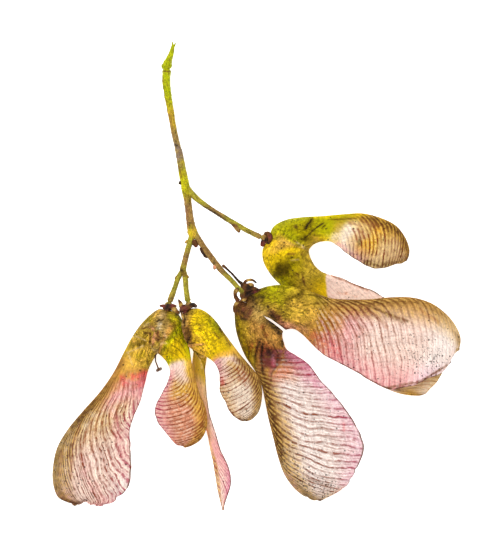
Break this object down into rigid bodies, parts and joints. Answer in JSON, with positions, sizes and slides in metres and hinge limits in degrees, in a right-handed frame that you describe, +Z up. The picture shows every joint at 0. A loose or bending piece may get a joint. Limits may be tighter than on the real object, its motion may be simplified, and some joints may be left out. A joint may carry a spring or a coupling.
{
  "type": "maple samara cluster",
  "caption": "Picked cluster of paired maple samaras on a branched stalk, lying flat: swollen nutlets with ribbed papery wings, dried calyces and a withered flower.",
  "frame": {"origin": "on the surface that the cluster lies on, under the middle of its outline seen from above", "axes": "+Y towards the stalk's torn end, +X to the side of the curled samara, +Z up from the surface"},
  "size_m": [0.0775, 0.0887, 0.0085],
  "materials": {
    "stalk_skin": "satin, yellow-green to olive brown with brown streaks",
    "golden_wing": "matte yellow-green nutlet and golden papery wing with brown veins",
    "rose_wing": "matte olive nutlet and rose papery wing with brown and maroon veins",
    "cream_wing": "matte yellow nutlet and cream papery wing with brown veins",
    "pale_wing": "matte olive nutlet and pale pink papery wing with brown veins",
    "dried_brown": "matte, dried and dark"
  },
  "bodies": {
    "root": {"stalk": "stalk_skin", "upper_samara_top": "golden_wing", "upper_samara_under": "golden_wing", "left_samara_outer": "rose_wing", "left_samara_inner": "rose_wing", "middle_samara_front": "cream_wing", "middle_samara_back": "cream_wing", "right_samara_side": "pale_wing", "right_samara_low": "pale_wing", "upper_calyx": "dried_brown", "left_calyx": "dried_brown", "middle_calyx": "dried_brown", "right_calyx": "dried_brown", "withered_flower": "dried_brown", "style_remnant": "dried_brown"}
  },
  "joints": []
}
